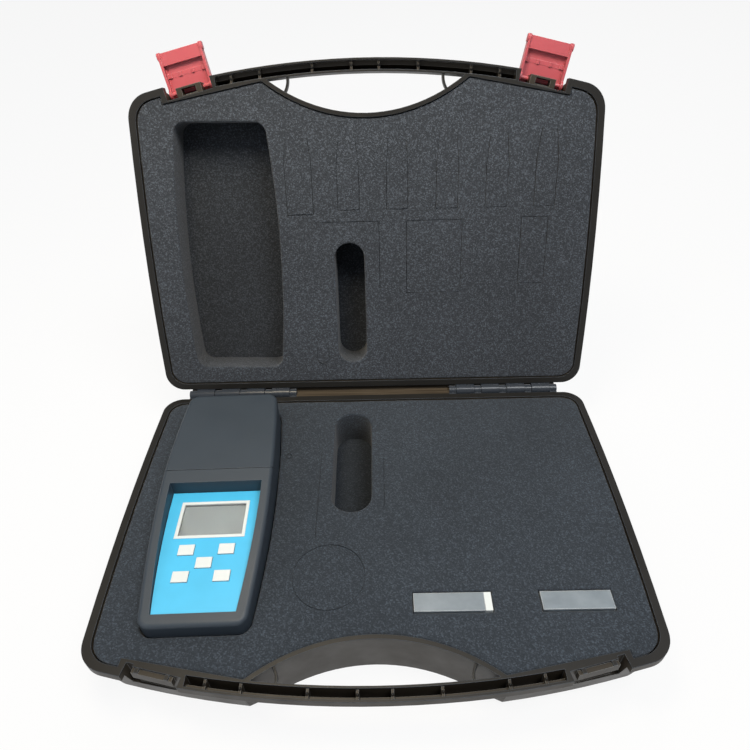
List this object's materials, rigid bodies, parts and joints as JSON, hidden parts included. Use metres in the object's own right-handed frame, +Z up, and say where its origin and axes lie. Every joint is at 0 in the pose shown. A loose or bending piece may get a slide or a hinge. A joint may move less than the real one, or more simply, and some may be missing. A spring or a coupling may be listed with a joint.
{
  "type": "chlorine tester",
  "caption": "Handheld chlorine tester with a hinged light cap, display and keys, lying with two sample cells in a foam lined carrying case whose latched lid stands open.",
  "frame": {"origin": "middle of the underside of the carrying case, on the surface it stands on", "axes": "+X to the user's right along the lid hinge, +Y away from the user towards the hinge, +Z up"},
  "size_m": [0.3626, 0.3779, 0.2987],
  "materials": {
    "case_plastic": "fine grained black moulded polypropylene",
    "foam": "open cell charcoal foam, fine speckle",
    "hinge_steel": "drawn wire",
    "latch_plastic": "red moulded plastic, satin",
    "housing_plastic": "fine textured dark grey plastic",
    "panel_film": "printed blue film",
    "white_print": "white",
    "lcd": "reflective grey display",
    "clear_window": "clear",
    "cell_glass": "clear with frosted sides",
    "stopper_white": "white",
    "board": "green solder mask",
    "steel": "plated",
    "black_plastic": "light absorbing black",
    "rubber": "soft",
    "cell_jacket": "wrapped battery cell",
    "lamp_lens": "tinted lens",
    "filter_glass": "coloured glass"
  },
  "bodies": {
    "case_base": {"base_shell": "case_plastic", "base_foam_tray": "foam", "base_foam_pad": "foam", "hinge_pins": "hinge_steel"},
    "lid": {"lid_shell": "case_plastic", "lid_foam_tray": "foam", "lid_foam_pad": "foam"},
    "latch_left": {"left_latch": "latch_plastic"},
    "latch_right": {"right_latch": "latch_plastic"},
    "tester": {"rear_housing": "housing_plastic", "front_housing": "housing_plastic", "housing_screws": "steel", "panel_overlay": "panel_film", "display_bezel": "white_print", "display_window": "clear_window", "lcd_module": "lcd", "display_connectors": "rubber", "main_board": "board", "board_screws": "steel", "key_switches": "black_plastic", "battery_cells": "cell_jacket", "battery_contacts": "steel", "sample_deck": "black_plastic", "cell_holder": "black_plastic", "lamp": "lamp_lens", "lamp_board": "board", "colour_filter": "filter_glass", "light_sensor": "black_plastic", "sensor_board": "board", "well_seal": "rubber", "cap_hinge_pin": "steel"},
    "light_cap": {"light_cap": "housing_plastic"},
    "battery_door": {"battery_door": "housing_plastic"},
    "cuvette_left": {"left_cuvette": "cell_glass", "cuvette_stopper": "stopper_white"},
    "cuvette_right": {"right_cuvette": "cell_glass"},
    "key_upper_left": {"key_upper_left": "white_print"},
    "key_upper_right": {"key_upper_right": "white_print"},
    "key_centre": {"key_centre": "white_print"},
    "key_lower_left": {"key_lower_left": "white_print"},
    "key_lower_right": {"key_lower_right": "white_print"}
  },
  "joints": [
    {"name": "lid_hinge", "type": "hinge", "parent": "case_base", "child": "lid", "pos_m": [0, 0.13, 0.042], "axis": [-1, 0, 0], "range_deg": [-108.7, 0]},
    {"name": "left_latch_hinge", "type": "hinge", "parent": "lid", "child": "latch_left", "pos_m": [-0.12992, 0.21861, 0.26885], "axis": [-0.9744, -0.0721, -0.2131], "range_deg": [-90, 0]},
    {"name": "right_latch_hinge", "type": "hinge", "parent": "lid", "child": "latch_right", "pos_m": [0.12992, 0.21861, 0.26885], "axis": [-0.9744, 0.0721, 0.2131], "range_deg": [-90, 0]},
    {"name": "tester_lift", "type": "slide", "parent": "case_base", "child": "tester", "axis": [0, 0, 1], "range_m": [0, 0.06]},
    {"name": "light_cap_hinge", "type": "hinge", "parent": "tester", "child": "light_cap", "pos_m": [-0.11432, 0.09898, 0.0591], "axis": [-0.9998, -0.0209, 0], "range_deg": [0, 90]},
    {"name": "battery_door_slide", "type": "slide", "parent": "tester", "child": "battery_door", "axis": [0.0209, -0.9998, 0], "range_m": [0, 0.003]},
    {"name": "left_cuvette_lift", "type": "slide", "parent": "case_base", "child": "cuvette_left", "axis": [0, 0, 1], "range_m": [0, 0.03]},
    {"name": "right_cuvette_lift", "type": "slide", "parent": "case_base", "child": "cuvette_right", "axis": [0, 0, 1], "range_m": [0, 0.03]},
    {"name": "press_upper_left", "type": "slide", "parent": "tester", "child": "key_upper_left", "axis": [0, 0, 1], "range_m": [-0.0004, 0], "stiffness_N_per_m": 800},
    {"name": "press_upper_right", "type": "slide", "parent": "tester", "child": "key_upper_right", "axis": [0, 0, 1], "range_m": [-0.0004, 0], "stiffness_N_per_m": 800},
    {"name": "press_centre", "type": "slide", "parent": "tester", "child": "key_centre", "axis": [0, 0, 1], "range_m": [-0.0004, 0], "stiffness_N_per_m": 800},
    {"name": "press_lower_left", "type": "slide", "parent": "tester", "child": "key_lower_left", "axis": [0, 0, 1], "range_m": [-0.0004, 0], "stiffness_N_per_m": 800},
    {"name": "press_lower_right", "type": "slide", "parent": "tester", "child": "key_lower_right", "axis": [0, 0, 1], "range_m": [-0.0004, 0], "stiffness_N_per_m": 800}
  ]
}
